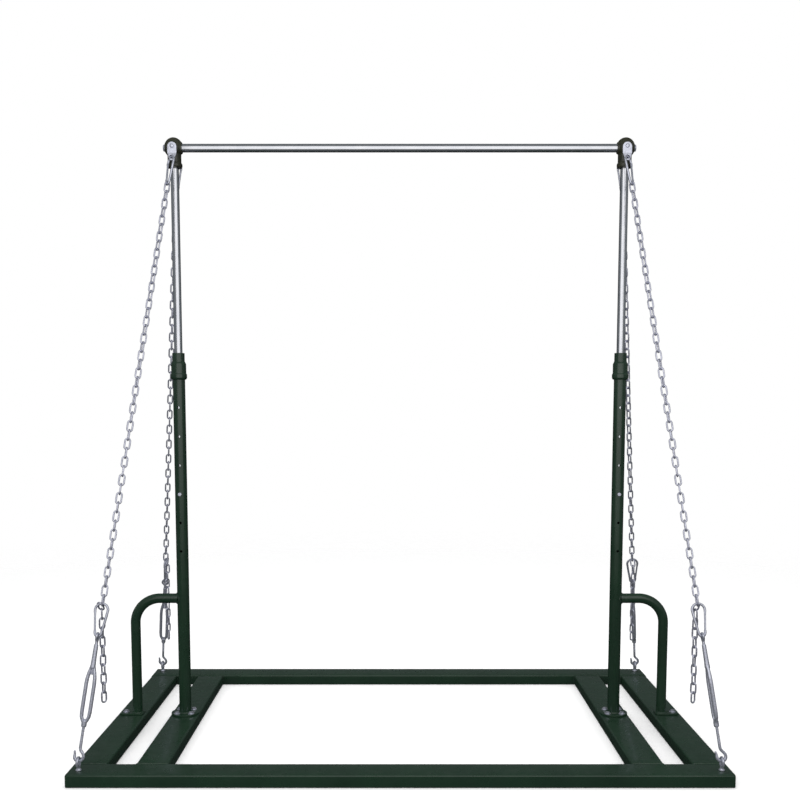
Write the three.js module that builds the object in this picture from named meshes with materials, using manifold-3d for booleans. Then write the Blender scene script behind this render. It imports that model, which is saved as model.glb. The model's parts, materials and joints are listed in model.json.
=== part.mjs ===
// A height-adjustable horizontal bar on a flat base frame, stayed by four chains with turnbuckles.
// Millimetres, +Z up, +X to the right, +Y to the back. The origin is on the ground, mid-base.
import * as THREE from 'three';
import { mergeVertices } from 'three/addons/utils/BufferGeometryUtils.js';
import Module from 'manifold-3d';

const wasm = await Module();
wasm.setup();

// ---- Driving dimensions ----
const GAP = 0.3; // clearance between pieces that touch
const SIDES = 20; // facets round a tube
const FINE_SIDES = 8; // facets round a bolt hole or a thin rod
const WIRE_SIDES = 6; // facets round a bent wire

const BASE = { width: 2000, depth: 1200 };
const RAIL = { width: 100, height: 40, wall: 2.5 };
const POST_X = 762; // half of the distance between the posts
const OUTER_RAIL_X = BASE.width / 2 - RAIL.width / 2;

const LOWER = { radius: 21, wall: 3, top: 1270 };
const UPPER = { radius: 14, wall: 2 };
const FLANGE = { radius: 49, thickness: 6, boltCircle: 35, boltHole: 4.5, bolts: 4 };
const CROSS_HOLE = { radius: 4.5, lowest: 626, pitch: 100, count: 6 };
const PIN = { radius: 4, hole: 2, headRadius: 6.5, headLength: 6, tail: 6 };
const BAR = { z: 2000, halfLength: 782 };
const UPPER_TOP = BAR.z - 21.3;
const BUSH = { height: 36, above: 6 };

const COLLAR = {
  bottom: 1222, top: 1313, lip: 2.5,
  outside: [[28, 5], [28, 18], [25.5, 21], [25.5, 54], [21, 62], [21, 91]], // [radius, above the bottom]
};
const HEAD = {
  ball: 32, top: 35, neck: 23, bead: 26, beadLow: 62, beadHigh: 52, bottom: 66,
  ballOffset: 2, outlet: 18.5, outletBead: 20, outletEnd: 27,
  bossRadius: 12, bossFace: 33, bossOffset: 1,
  sides: 16, domeSteps: 5,
};
const HANGER = {
  width: 31, thickness: 3.5, rise: 13, fall: 24, leaf: 27, hole: 7, holeAlong: 14, tipRadius: 10,
  bend: THREE.MathUtils.degToRad(16), holeSides: 16,
};
const THROUGH_BOLT = { radius: 4, headRadius: 7, headLength: 3.5 };

const BRACE = { radius: 17, wall: 2.5, z: 456, legX: 932, bend: 88, sides: 12 };
const BRACE_FOOT = { from: 909, to: 991, depth: 48, thickness: 5, boltX: 973, boltHole: 5 };

const EYE_BOLT = {
  x: 970, y: 560, end: 24, ringZ: 66, ring: 13.5, wire: 4.5, shank: 5, collar: 9, nut: 8.5,
};
const GUY_FOOT_Z = 69.7; // where the hook hangs in the eye bolt
const ROD = 4.5; // radius of the turnbuckle's two rods
const HOOK = { bow: 13.5, lean: 1.5, tipRise: 14, rodEnd: 125 };
const BUCKLE = {
  depth: 13,
  side: [[7.5, 101], [8.5, 109], [18, 127], [18, 240], [7.3, 300], [6.3, 350]], // [half width, along]
  slot: [[4, 119], [6.5, 131], [6.5, 250], [4, 276]],
};
const EYE = { at: 374, ring: 10, wire: 4, rodStart: 258 };
const SNAP = { length: 100, small: 10, large: 20, wire: 4 };
const LOWER_SNAP_FROM = 375.2;
const CHAIN_ROD = 4.75; // plain round rod of the same mass as the chain, radius
const TAIL = { length: 300, below: 13 };

const GREEN = 0x1d3322;
const DARK_GREEN = 0x22261b;
const STEEL = 0xc4c6cc;
const ZINC = 0xb4b9c6;
const NYLON = 0x2a2a2a;

// ---- Solids ----
const group = new THREE.Group();

// A closed geometry as a solid that can be cut and joined.
function solid(geometry) {
  const bare = geometry.index ? geometry.clone() : geometry;
  bare.deleteAttribute('normal');
  bare.deleteAttribute('uv');
  const merged = mergeVertices(bare, 1e-4);
  return new wasm.Manifold(new wasm.Mesh({
    numProp: 3,
    vertProperties: new Float32Array(merged.attributes.position.array),
    triVerts: new Uint32Array(merged.index.array),
  }));
}

function geometryOf(shape) {
  const mesh = shape.getMesh();
  const geometry = new THREE.BufferGeometry();
  geometry.setAttribute('position', new THREE.BufferAttribute(mesh.vertProperties, 3));
  geometry.setIndex(new THREE.BufferAttribute(mesh.triVerts, 1));
  geometry.computeVertexNormals();
  return geometry;
}

// A rod along Z from z0 to z1.
function rod(radius, z0, z1, sides = SIDES) {
  const geometry = new THREE.CylinderGeometry(radius, radius, z1 - z0, sides);
  geometry.rotateX(Math.PI / 2).translate(0, 0, (z0 + z1) / 2);
  return solid(geometry);
}

// A rod along Y, for cross holes and bolts, through (x, z).
function crossRod(radius, x, z, y0, y1, sides = FINE_SIDES) {
  return rod(radius, y0, y1, sides).rotate([-90, 0, 0]).translate([x, 0, z]);
}

// A turned piece about Z from an outline of [radius, z] pairs, which runs upward on the outside.
function turned(outline, sides = SIDES) {
  const points = outline.map(([r, z]) => new THREE.Vector2(r, z));
  const geometry = new THREE.LatheGeometry(points, sides);
  // A lathe turns about Y.
  return solid(geometry.rotateX(Math.PI / 2));
}

function pipe(outer, inner, z0, z1, sides = SIDES) {
  return turned([[inner, z0], [outer, z0], [outer, z1], [inner, z1], [inner, z0]], sides);
}

function block(x0, x1, y0, y1, z0, z1) {
  const geometry = new THREE.BoxGeometry(x1 - x0, y1 - y0, z1 - z0);
  return solid(geometry.translate((x0 + x1) / 2, (y0 + y1) / 2, (z0 + z1) / 2));
}

// Adds one named sub-part to a group.
function add(name, shape, color, roughness, metalness, parent = group) {
  const material = new THREE.MeshStandardMaterial({ color, roughness, metalness });
  const mesh = new THREE.Mesh(geometryOf(shape), material);
  mesh.name = name;
  parent.add(mesh);
  return mesh;
}

const painted = (name, shape) => add(name, shape, GREEN, 0.3, 0.1);
const polished = (name, shape) => add(name, shape, STEEL, 0.25, 1);

// A path in the XZ plane out of straight lines and arcs. A swept section stands at its stations only.
class FlatPath extends THREE.Curve {
  stations = [];

  along(curve, steps) {
    for (let i = this.stations.length ? 1 : 0; i <= steps; i += 1) {
      const t = i / steps;
      this.stations.push({ point: curve.getPoint(t), tangent: curve.getTangent(t) });
    }
    return this;
  }

  line(x0, z0, x1, z1) {
    const straight = new THREE.LineCurve3(new THREE.Vector3(x0, 0, z0), new THREE.Vector3(x1, 0, z1));
    return this.along(straight, 1);
  }

  // Angles are in radians from +X towards +Z.
  arc(x, z, radius, from, to, steps) {
    const circle = new THREE.Curve();
    circle.getPoint = (t, target = new THREE.Vector3()) => {
      const angle = from + (to - from) * t;
      return target.set(x + radius * Math.cos(angle), 0, z + radius * Math.sin(angle));
    };
    return this.along(circle, steps);
  }

  bezier(ends, steps) {
    const points = ends.map(([x, z]) => new THREE.Vector3(x, 0, z));
    return this.along(new THREE.CubicBezierCurve3(...points), steps);
  }

  station(u) {
    return this.stations[Math.round(u * (this.stations.length - 1))];
  }

  getPointAt(u, target = new THREE.Vector3()) {
    return target.copy(this.station(u).point);
  }

  getTangentAt(u, target = new THREE.Vector3()) {
    return target.copy(this.station(u).tangent);
  }
}

// A round wire or tube along a FlatPath. A hollow one has an inner radius.
function swept(path, radius, sides, inner = 0) {
  const section = new THREE.Shape();
  section.absarc(0, 0, radius, 0, 2 * Math.PI);
  if (inner > 0) {
    const hollow = new THREE.Path();
    hollow.absarc(0, 0, inner, 0, 2 * Math.PI, true);
    section.holes.push(hollow);
  }
  // A full circle is drawn in twice as many divisions as curveSegments says.
  return solid(new THREE.ExtrudeGeometry(section, {
    curveSegments: sides / 2, steps: path.stations.length - 1, extrudePath: path,
  }));
}

// ---- Base frame ----
// The front and rear rails have closed ends, and the rails between them butt against them.
function railAlongX(y) {
  const half = RAIL.width / 2;
  const long = BASE.width / 2;
  const outer = block(-long, long, y - half, y + half, 0, RAIL.height);
  return outer.subtract(block(-long + RAIL.wall, long - RAIL.wall, y - half + RAIL.wall,
    y + half - RAIL.wall, RAIL.wall, RAIL.height - RAIL.wall));
}

function railAlongY(x) {
  const half = RAIL.width / 2;
  const long = BASE.depth / 2 - RAIL.width - GAP;
  const outer = block(x - half, x + half, -long, long, 0, RAIL.height);
  return outer.subtract(block(x - half + RAIL.wall, x + half - RAIL.wall, -long - 1, long + 1,
    RAIL.wall, RAIL.height - RAIL.wall));
}

// A hole through a rail's upper wall only.
function topHole(x, y, radius) {
  return rod(radius, RAIL.height - RAIL.wall - 1, RAIL.height + 1, FINE_SIDES).translate([x, y, 0]);
}

function flangeBoltPlaces(x) {
  return Array.from({ length: FLANGE.bolts }, (_, i) => {
    const angle = Math.PI / 4 + (i * 2 * Math.PI) / FLANGE.bolts;
    return [x + FLANGE.boltCircle * Math.cos(angle), FLANGE.boltCircle * Math.sin(angle)];
  });
}

for (const [name, side] of [['front_rail', -1], ['rear_rail', 1]]) {
  let rail = railAlongX(side * (BASE.depth - RAIL.width) / 2);
  for (const x of [-EYE_BOLT.x, EYE_BOLT.x]) {
    rail = rail.subtract(topHole(x, side * EYE_BOLT.y, EYE_BOLT.shank + GAP));
  }
  painted(name, rail);
}

// ---- One side of the bar ----
// Each piece is built for the right side, where +X points outward, and mirrored for the left.
function lowerPost() {
  const flangeTop = RAIL.height + FLANGE.thickness;
  let post = rod(FLANGE.radius, RAIL.height + GAP, flangeTop)
    .add(rod(LOWER.radius, RAIL.height + 1, LOWER.top))
    .subtract(rod(LOWER.radius - LOWER.wall, flangeTop, LOWER.top + 1))
    .translate([POST_X, 0, 0]);
  for (const [x, y] of flangeBoltPlaces(POST_X)) {
    const hole = rod(FLANGE.boltHole, RAIL.height - 1, flangeTop + 1, FINE_SIDES);
    post = post.subtract(hole.translate([x, y, 0]));
  }
  for (let i = 0; i < CROSS_HOLE.count; i += 1) {
    const z = CROSS_HOLE.lowest + i * CROSS_HOLE.pitch;
    post = post.subtract(crossRod(CROSS_HOLE.radius, POST_X, z, -LOWER.radius - 5, LOWER.radius + 5));
  }
  return post;
}

function innerRail() {
  let rail = railAlongY(POST_X);
  for (const [x, y] of flangeBoltPlaces(POST_X)) {
    rail = rail.subtract(topHole(x, y, FLANGE.boltHole));
  }
  return rail;
}

function outerRail() {
  return railAlongY(OUTER_RAIL_X).subtract(topHole(BRACE_FOOT.boltX, 0, BRACE_FOOT.boltHole));
}

function brace() {
  const footTop = RAIL.height + GAP + BRACE_FOOT.thickness;
  const path = new FlatPath()
    .line(BRACE.legX, footTop - 1, BRACE.legX, BRACE.z - BRACE.bend)
    .arc(BRACE.legX - BRACE.bend, BRACE.z - BRACE.bend, BRACE.bend, 0, Math.PI / 2, 8)
    .line(BRACE.legX - BRACE.bend, BRACE.z, POST_X, BRACE.z);
  const tube = swept(path, BRACE.radius, BRACE.sides, BRACE.radius - BRACE.wall);
  const post = rod(LOWER.radius + GAP, BRACE.z - 60, BRACE.z + 60).translate([POST_X, 0, 0]);
  const half = BRACE_FOOT.depth / 2;
  const plate = block(BRACE_FOOT.from, BRACE_FOOT.to, -half, half, RAIL.height + GAP, footTop)
    .subtract(rod(BRACE_FOOT.boltHole, RAIL.height - 1, footTop + 1, FINE_SIDES)
      .translate([BRACE_FOOT.boltX, 0, 0]));
  return tube.subtract(post).add(plate);
}

function collar() {
  const bore = LOWER.radius + GAP;
  return turned([
    [bore, COLLAR.bottom], [bore + COLLAR.lip, COLLAR.bottom],
    ...COLLAR.outside.map(([radius, above]) => [radius, COLLAR.bottom + above]),
    [UPPER.radius + GAP, COLLAR.top], [UPPER.radius + GAP, LOWER.top + GAP],
    [bore, LOWER.top + GAP], [bore, COLLAR.bottom],
  ]).translate([POST_X, 0, 0]);
}

const pinZ = CROSS_HOLE.lowest + PIN.hole * CROSS_HOLE.pitch;
const upperFoot = pinZ + PIN.radius + GAP;

function upperPost() {
  return pipe(UPPER.radius, UPPER.radius - UPPER.wall, upperFoot, UPPER_TOP)
    .translate([POST_X, 0, 0]);
}

function guideBush() {
  const z = upperFoot + BUSH.above;
  return pipe(LOWER.radius - LOWER.wall - GAP, UPPER.radius + GAP, z, z + BUSH.height)
    .translate([POST_X, 0, 0]);
}

// The cast head takes the upper post from below and the bar from its inner side.
function head() {
  const arc = (from, to, height, steps) => Array.from({ length: steps + 1 }, (_, i) => {
    const angle = THREE.MathUtils.degToRad(from + ((to - from) * i) / steps);
    return [HEAD.ball * Math.cos(angle), height * Math.sin(angle)];
  });
  const ball = turned([
    ...arc(-90, 0, HEAD.ball, 4), ...arc(0, 90, HEAD.top, HEAD.domeSteps).slice(1),
  ], HEAD.sides).translate([HEAD.ballOffset, 0, 0]);
  const neck = turned([
    [0, -HEAD.bottom], [HEAD.neck + 1, -HEAD.bottom], [HEAD.bead, -HEAD.beadLow],
    [HEAD.bead, -HEAD.beadHigh], [HEAD.neck, -HEAD.beadHigh + 3], [HEAD.neck, 0], [0, 0],
  ], HEAD.sides);
  const outlet = turned([
    [0, 0], [HEAD.outlet, 0], [HEAD.outlet, HEAD.outletEnd - 9],
    [HEAD.outletBead, HEAD.outletEnd - 7], [HEAD.outletBead, HEAD.outletEnd - 1],
    [HEAD.outlet, HEAD.outletEnd], [0, HEAD.outletEnd],
  ], HEAD.sides).rotate([0, -90, 0]);
  const boss = crossRod(HEAD.bossRadius, HEAD.bossOffset, 0, -HEAD.bossFace, HEAD.bossFace, 12);
  const postBore = rod(UPPER.radius + GAP, -HEAD.bottom - 1, UPPER_TOP + GAP - BAR.z);
  const barEnd = BAR.halfLength - POST_X + GAP;
  const barBore = rod(UPPER.radius + GAP, -barEnd, HEAD.outletEnd + 5).rotate([0, -90, 0]);
  const bolt = crossRod(THROUGH_BOLT.radius + GAP, HEAD.bossOffset, 0, -50, 50);
  return ball.add(neck).add(outlet).add(boss).subtract(postBore).subtract(barBore).subtract(bolt)
    .translate([POST_X, 0, BAR.z]);
}

const boltX = POST_X + HEAD.bossOffset;
const hangerFace = HEAD.bossFace + GAP;

function throughBolt() {
  const out = hangerFace + HANGER.thickness + GAP;
  const end = out + THROUGH_BOLT.headLength;
  return crossRod(THROUGH_BOLT.radius, boltX, BAR.z, -out, out)
    .add(crossRod(THROUGH_BOLT.headRadius, boltX, BAR.z, -end, -out, 12))
    .add(crossRod(THROUGH_BOLT.headRadius, boltX, BAR.z, out, end, 6));
}

// A flat plate outline in the XZ plane that is then thickened along +Y.
function plate(outline, thickness) {
  const geometry = new THREE.ExtrudeGeometry(outline, {
    depth: thickness, bevelEnabled: false, curveSegments: FINE_SIDES,
  });
  return solid(geometry.rotateX(Math.PI / 2)).translate([0, thickness, 0]);
}

// The hanger of the rear of the head: an upright plate, and below it a leaf that bends backward.
// The leaf's line is the line from the bend to the hole.
function hanger() {
  const half = HANGER.width / 2;
  const upright = new THREE.Shape();
  upright.moveTo(-half, -HANGER.fall);
  upright.lineTo(half, -HANGER.fall);
  upright.lineTo(half, HANGER.rise - half);
  upright.absarc(0, HANGER.rise - half, half, 0, Math.PI);
  upright.lineTo(-half, -HANGER.fall);
  const leaf = new THREE.Shape();
  leaf.moveTo(half, 1);
  leaf.lineTo(-half, 1);
  leaf.absarc(0, HANGER.tipRadius - HANGER.leaf, HANGER.tipRadius, 1.1 * Math.PI, 1.9 * Math.PI);
  leaf.lineTo(half, 1);
  const hole = crossRod(HANGER.hole, 0, -HANGER.holeAlong, -5, HANGER.thickness + 5, HANGER.holeSides);
  const bent = plate(leaf, HANGER.thickness).subtract(hole)
    .rotate([THREE.MathUtils.radToDeg(HANGER.bend), 0, 0]).translate([0, 0, -HANGER.fall]);
  const boltHole = crossRod(THROUGH_BOLT.radius + GAP, 0, 0, -5, HANGER.thickness + 5);
  return plate(upright, HANGER.thickness).subtract(boltHole).add(bent)
    .translate([boltX, hangerFace, BAR.z]);
}

function lockingPin() {
  const front = LOWER.radius + GAP;
  return crossRod(PIN.radius, POST_X, pinZ, -front - 1, LOWER.radius + PIN.tail)
    .add(crossRod(PIN.headRadius, POST_X, pinZ, -front - PIN.headLength, -front, 12));
}

for (const [side, direction] of [['left', -1], ['right', 1]]) {
  const sided = (shape) => (direction < 0 ? shape.mirror([1, 0, 0]) : shape);
  painted(`${side}_outer_rail`, sided(outerRail()));
  painted(`${side}_inner_rail`, sided(innerRail()));
  painted(`${side}_lower_post`, sided(lowerPost()));
  painted(`${side}_brace`, sided(brace()));
  painted(`${side}_collar`, sided(collar()));
  polished(`${side}_upper_post`, sided(upperPost()));
  add(`${side}_guide_bush`, sided(guideBush()), NYLON, 0.6, 0);
  add(`${side}_head`, sided(head()), DARK_GREEN, 0.45, 0.2);
  polished(`${side}_through_bolt`, sided(throughBolt()));
  polished(`${side}_front_hanger`, sided(hanger().mirror([0, 1, 0])));
  polished(`${side}_rear_hanger`, sided(hanger()));
  polished(`${side}_locking_pin`, sided(lockingPin()));
}

const boltHoles = [-boltX, boltX].map((x) => crossRod(THROUGH_BOLT.radius + GAP, x, 0, -30, 30));
polished('bar', pipe(UPPER.radius, UPPER.radius - UPPER.wall, -BAR.halfLength, BAR.halfLength)
  .rotate([0, 90, 0]).subtract(boltHoles[0]).subtract(boltHoles[1]).translate([0, 0, BAR.z]));

// ---- Stays ----
// Every piece of a stay is built along Z, from the hook's bow at 0 up to the hanger's hole, with its
// broad side across X, and then turned about its own length.
function ring(radius, wire) {
  return solid(new THREE.TorusGeometry(radius, wire, WIRE_SIDES, 12).rotateX(Math.PI / 2));
}

function eyeBolt() {
  const seat = RAIL.height + GAP;
  const nutTop = RAIL.height - RAIL.wall - GAP;
  const nut = rod(EYE_BOLT.nut, nutTop - 8, nutTop, 6);
  return ring(EYE_BOLT.ring, EYE_BOLT.wire).rotate([0, 0, 90]).translate([0, 0, EYE_BOLT.ringZ])
    .add(rod(EYE_BOLT.collar, seat, seat + 4, 12))
    .add(rod(EYE_BOLT.shank, EYE_BOLT.end, EYE_BOLT.ringZ - EYE_BOLT.ring, FINE_SIDES))
    .add(nut);
}

// The bow of the hook bulges to +X and its tip stands on the -X side.
function hook() {
  const { bow, lean, tipRise } = HOOK;
  const ease = bow * 0.9;
  const top = 3 * bow;
  const path = new FlatPath()
    .bezier([[-bow - lean, bow + tipRise], [-bow, bow + tipRise / 2], [-bow, bow + 3], [-bow, bow]], 2)
    .arc(0, bow, bow, Math.PI, 2 * Math.PI, 8)
    .bezier([[bow, bow], [bow, bow + ease], [0, top - ease], [0, top]], 5)
    .line(0, top, 0, HOOK.rodEnd);
  return swept(path, ROD, WIRE_SIDES);
}

// A forged open body: a short neck for the hook's rod below and a long one for the eye's rod above.
function buckleBody() {
  const bothSides = (half) => [
    ...half.map(([x, z]) => new THREE.Vector2(x, z)),
    ...half.map(([x, z]) => new THREE.Vector2(-x, z)).reverse(),
  ];
  const outline = new THREE.Shape(bothSides(BUCKLE.side));
  outline.holes.push(new THREE.Path(bothSides(BUCKLE.slot)));
  const from = BUCKLE.side[0][1];
  const to = BUCKLE.side.at(-1)[1];
  return plate(outline, BUCKLE.depth).translate([0, -BUCKLE.depth / 2, 0])
    .subtract(rod(ROD + 2 * GAP, from - 1, to + 1, FINE_SIDES));
}

function eyeRod() {
  return ring(EYE.ring, EYE.wire).translate([0, 0, EYE.at])
    .add(rod(ROD, EYE.rodStart, EYE.at - EYE.ring, FINE_SIDES));
}

// A pear-shaped snap link. The wide end is up, and its nose and gate meet on the +X side.
function snapLink() {
  const { length, small, large, wire } = SNAP;
  const lowZ = small;
  const highZ = length - large;
  const lean = Math.asin((large - small) / (highZ - lowZ));
  const at = (x, z, radius, angle) => [x + radius * Math.cos(angle), z + radius * Math.sin(angle)];
  const lowRight = at(0, lowZ, small, -lean);
  const highRight = at(0, highZ, large, -lean);
  const mid = [(lowRight[0] + highRight[0]) / 2, (lowRight[1] + highRight[1]) / 2];
  const split = 0.4;
  const path = new FlatPath()
    .line(mid[0], mid[1] + split, ...highRight)
    .arc(0, highZ, large, -lean, Math.PI + lean, 9)
    .line(-highRight[0], highRight[1], -lowRight[0], lowRight[1])
    .arc(0, lowZ, small, Math.PI + lean, 2 * Math.PI - lean, 6)
    .line(...lowRight, mid[0], mid[1] - split);
  return swept(path, wire, WIRE_SIDES);
}

// How each corner's pieces are turned about the stay: 0 shows the broad side to the front.
const EDGE_ON = 90;
const CORNERS = [
  { name: 'front_left', x: -1, y: -1, buckleTurn: 0, snapTurn: 0, upperTurn: 130, tailAside: -9 },
  { name: 'front_right', x: 1, y: -1, buckleTurn: EDGE_ON, snapTurn: 0, upperTurn: 50, tailAside: 0 },
  { name: 'rear_left', x: -1, y: 1, buckleTurn: 0, snapTurn: EDGE_ON, upperTurn: 50, tailAside: 9 },
  { name: 'rear_right', x: 1, y: 1, buckleTurn: EDGE_ON, snapTurn: 0, upperTurn: 130, tailAside: 0 },
];

for (const corner of CORNERS) {
  const { name } = corner;
  const foot = new THREE.Vector3(corner.x * EYE_BOLT.x, corner.y * EYE_BOLT.y, GUY_FOOT_Z);
  const holeY = hangerFace + HANGER.thickness / 2 * Math.cos(HANGER.bend)
    + HANGER.holeAlong * Math.sin(HANGER.bend);
  const holeZ = BAR.z - HANGER.fall - HANGER.holeAlong * Math.cos(HANGER.bend)
    + HANGER.thickness / 2 * Math.sin(HANGER.bend);
  const top = new THREE.Vector3(corner.x * boltX, corner.y * holeY, holeZ);
  const along = top.clone().sub(foot);
  const length = along.length();
  along.normalize();
  const across = new THREE.Vector3(1, 0, 0).addScaledVector(along, -along.x).normalize();
  const normal = along.clone().cross(across);

  const stay = new THREE.Group();
  stay.position.copy(foot);
  stay.quaternion.setFromRotationMatrix(new THREE.Matrix4().makeBasis(across, normal, along));
  group.add(stay);
  const zinc = (piece, shape, turn = 0) => {
    add(`${name}_${piece}`, shape.rotate([0, 0, turn]), ZINC, 0.3, 1, stay);
  };

  add(`${name}_eye_bolt`, eyeBolt().translate([foot.x, foot.y, 0]), ZINC, 0.3, 1);
  zinc('hook', hook());
  zinc('turnbuckle_body', buckleBody(), corner.buckleTurn);
  zinc('turnbuckle_eye', eyeRod(), corner.snapTurn + EDGE_ON);
  zinc('lower_snap', snapLink().translate([0, 0, LOWER_SNAP_FROM]), corner.snapTurn);
  zinc('upper_snap', snapLink().translate([0, 0, length - SNAP.length]), corner.upperTurn);

  const clear = SNAP.wire + GAP;
  const bowZ = LOWER_SNAP_FROM + SNAP.length;
  const chainTop = length - SNAP.length - clear;
  zinc('chain', rod(CHAIN_ROD, bowZ + clear, chainTop, FINE_SIDES));

  // The tail hangs plumb from the lower snap's upper bow. tailAside is towards the middle.
  const bow = foot.clone().addScaledVector(along, bowZ);
  const aside = -corner.x * corner.tailAside;
  const tail = rod(CHAIN_ROD, -TAIL.below - TAIL.length, -TAIL.below, FINE_SIDES)
    .translate([bow.x + aside, bow.y, bow.z]);
  add(`${name}_chain_tail`, tail, ZINC, 0.3, 1);
}

export default group;
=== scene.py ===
"""A height-adjustable horizontal bar on a green base frame, stayed by four chains with turnbuckles.

Everything is in metres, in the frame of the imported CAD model: +X right, +Y back, +Z up.
"""

import json
import math

import bmesh
import bpy
from mathutils import Matrix, Vector


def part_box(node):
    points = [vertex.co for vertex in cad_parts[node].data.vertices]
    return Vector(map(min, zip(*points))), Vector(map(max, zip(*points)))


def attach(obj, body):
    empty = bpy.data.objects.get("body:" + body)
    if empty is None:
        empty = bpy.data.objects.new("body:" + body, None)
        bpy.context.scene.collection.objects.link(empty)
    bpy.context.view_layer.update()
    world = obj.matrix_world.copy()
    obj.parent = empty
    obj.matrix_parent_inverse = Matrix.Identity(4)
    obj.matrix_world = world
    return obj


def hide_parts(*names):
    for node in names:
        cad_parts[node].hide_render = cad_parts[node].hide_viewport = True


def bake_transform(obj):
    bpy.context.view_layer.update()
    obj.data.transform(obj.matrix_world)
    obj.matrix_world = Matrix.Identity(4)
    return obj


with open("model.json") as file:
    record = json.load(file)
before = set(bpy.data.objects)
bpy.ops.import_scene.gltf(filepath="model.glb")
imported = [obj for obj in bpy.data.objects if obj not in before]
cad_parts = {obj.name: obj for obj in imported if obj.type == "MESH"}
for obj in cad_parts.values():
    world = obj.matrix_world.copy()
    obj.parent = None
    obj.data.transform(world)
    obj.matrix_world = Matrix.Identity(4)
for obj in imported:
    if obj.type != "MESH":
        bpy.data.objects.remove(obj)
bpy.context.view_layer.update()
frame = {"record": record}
scene = bpy.context.scene

# ---- Places from the frame ----
MM = 0.001


def mm(*values):
    """Values in millimetres as a list in metres."""
    return [value * MM for value in values]


def middle(node):
    low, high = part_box(node)
    return (low + high) / 2


def linked(name, data):
    """A new object in the scene."""
    made = bpy.data.objects.new(name, data)
    scene.collection.objects.link(made)
    return made


POST_X = middle("right_guide_bush").x
BAR_Z = middle("bar").z
RAIL_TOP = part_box("front_rail")[1].z
PIN_Z = middle("right_locking_pin").z
PIN_HEAD_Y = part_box("right_locking_pin")[0].y
UPPER_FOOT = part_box("right_upper_post")[0].z
COLLAR_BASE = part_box("right_collar")[0].z
OUTER_RAIL_X = middle("right_outer_rail").x
EYE_BOLT = middle("front_right_eye_bolt")

# ---- Sizes of sections and small parts ----
GAP = 0.3 * MM
RAIL_CORNER, RAIL_END = mm(6, 1.5)
LOWER_R, LOWER_WALL, LOWER_TOP = mm(21, 3, 1270)
UPPER_R, UPPER_WALL = mm(14, 2)
FLANGE_R, FLANGE_H, BOLT_CIRCLE = mm(49, 6, 35)
HOLE_R, HOLE_LOWEST, HOLE_PITCH = mm(4.5, 626, 100)
HOLES = 6
BRACE_R, BRACE_Z, BRACE_LEG_X, BRACE_BEND = mm(17, 456, 932, 88)
FOOT_FROM, FOOT_TO, FOOT_DEPTH, FOOT_H, FOOT_BOLT_X = mm(909, 991, 48, 5, 973)
BOLT_OUT = 1 * MM
BOLT_X = POST_X + BOLT_OUT
HANGER_WIDTH, HANGER_THICK, HANGER_RISE, HANGER_FALL = mm(31, 3.5, 13, 24)
HANGER_LEAF, HANGER_HOLE, HOLE_ALONG, LEAF_TIP = mm(27, 7, 14, 10)
HANGER_BEND = math.radians(16)
HANGER_FACE = 33 * MM + GAP
HOOK_FOOT_Z = 69.7 * MM
SNAP_LENGTH, SNAP_SMALL, SNAP_LARGE, SNAP_WIRE = mm(100, 10, 20, 4)
LOWER_SNAP_FROM = 375.2 * MM
CHAIN_WIRE, CHAIN_WIDTH = mm(2.75, 21.5)
CHAIN_LINKS, TAIL_LINKS = 48, 11


# ---- The camera ----
CAMERA_AT, CAMERA_DOWN = (-0.0155, -3.529, 1.159), math.radians(5.46)
LENS, SENSOR, LENS_SHIFT = 45.68, 36, (0.00625, 0.11875)


def make_camera():
    data = bpy.data.cameras.new("camera")
    data.lens, data.sensor_width = LENS, SENSOR
    data.shift_x, data.shift_y = LENS_SHIFT
    scene.camera = linked("camera", data)
    scene.camera.location = CAMERA_AT
    scene.camera.rotation_euler = (math.pi / 2 - CAMERA_DOWN, 0, 0)


make_camera()


# ---- Mesh building ----
def mesh_of(points, faces):
    mesh = bpy.data.meshes.new("part")
    mesh.from_pydata([tuple(p) for p in points], [], faces)
    return mesh


def moved(mesh, matrix):
    """The mesh in a new place. A mirrored one is turned the right way out."""
    mesh = mesh.copy()
    mesh.transform(matrix)
    if matrix.determinant() < 0:
        mesh.flip_normals()
    return mesh


def shifted(mesh, x=0.0, y=0.0, z=0.0):
    return moved(mesh, Matrix.Translation((x, y, z)))


def turned_about(mesh, axis, degrees):
    return moved(mesh, Matrix.Rotation(math.radians(degrees), 4, axis))


def joined(parts):
    body = bmesh.new()
    for part in parts:
        body.from_mesh(part)
    mesh = bpy.data.meshes.new("part")
    body.to_mesh(mesh)
    body.free()
    return mesh


def softened(outline, steps=4):
    """An outline of (x, y) corners. A third value says how far back from the corner its curve starts."""
    made = []
    for i, (x, y, *soft) in enumerate(outline):
        at = Vector((x, y))
        if not soft:
            made.append(at)
            continue
        before = Vector(outline[i - 1][:2])
        after = Vector(outline[(i + 1) % len(outline)][:2])
        start = at + (before - at).normalized() * soft[0]
        end = at + (after - at).normalized() * soft[0]
        for k in range(steps + 1):
            t = k / steps
            made.append(start.lerp(at, t).lerp(at.lerp(end, t), t))
    return [tuple(p) for p in made]


def turned(outline, sides=64):
    """A solid turned about Z. Its outline of (radius, height) pairs runs upward on the outside."""
    points, rings = [], []
    for radius, z in outline:
        if radius < 1e-9:
            rings.append([len(points)] * sides)
            points.append((0, 0, z))
            continue
        rings.append(list(range(len(points), len(points) + sides)))
        points += [(x, y, z) for x, y in circle(0, 0, radius, sides)]
    is_ring = outline[0][0] > 1e-9
    faces = []
    for low, high in zip(rings, rings[1:] + (rings[:1] if is_ring else [])):
        for i in range(sides):
            j = (i + 1) % sides
            face = list(dict.fromkeys([low[i], low[j], high[j], high[i]]))
            if len(face) > 2:
                faces.append(face)
    return mesh_of(points, faces)


def lathe(outline, sides=64, steps=4):
    return turned(softened(outline, steps), sides)


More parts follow.
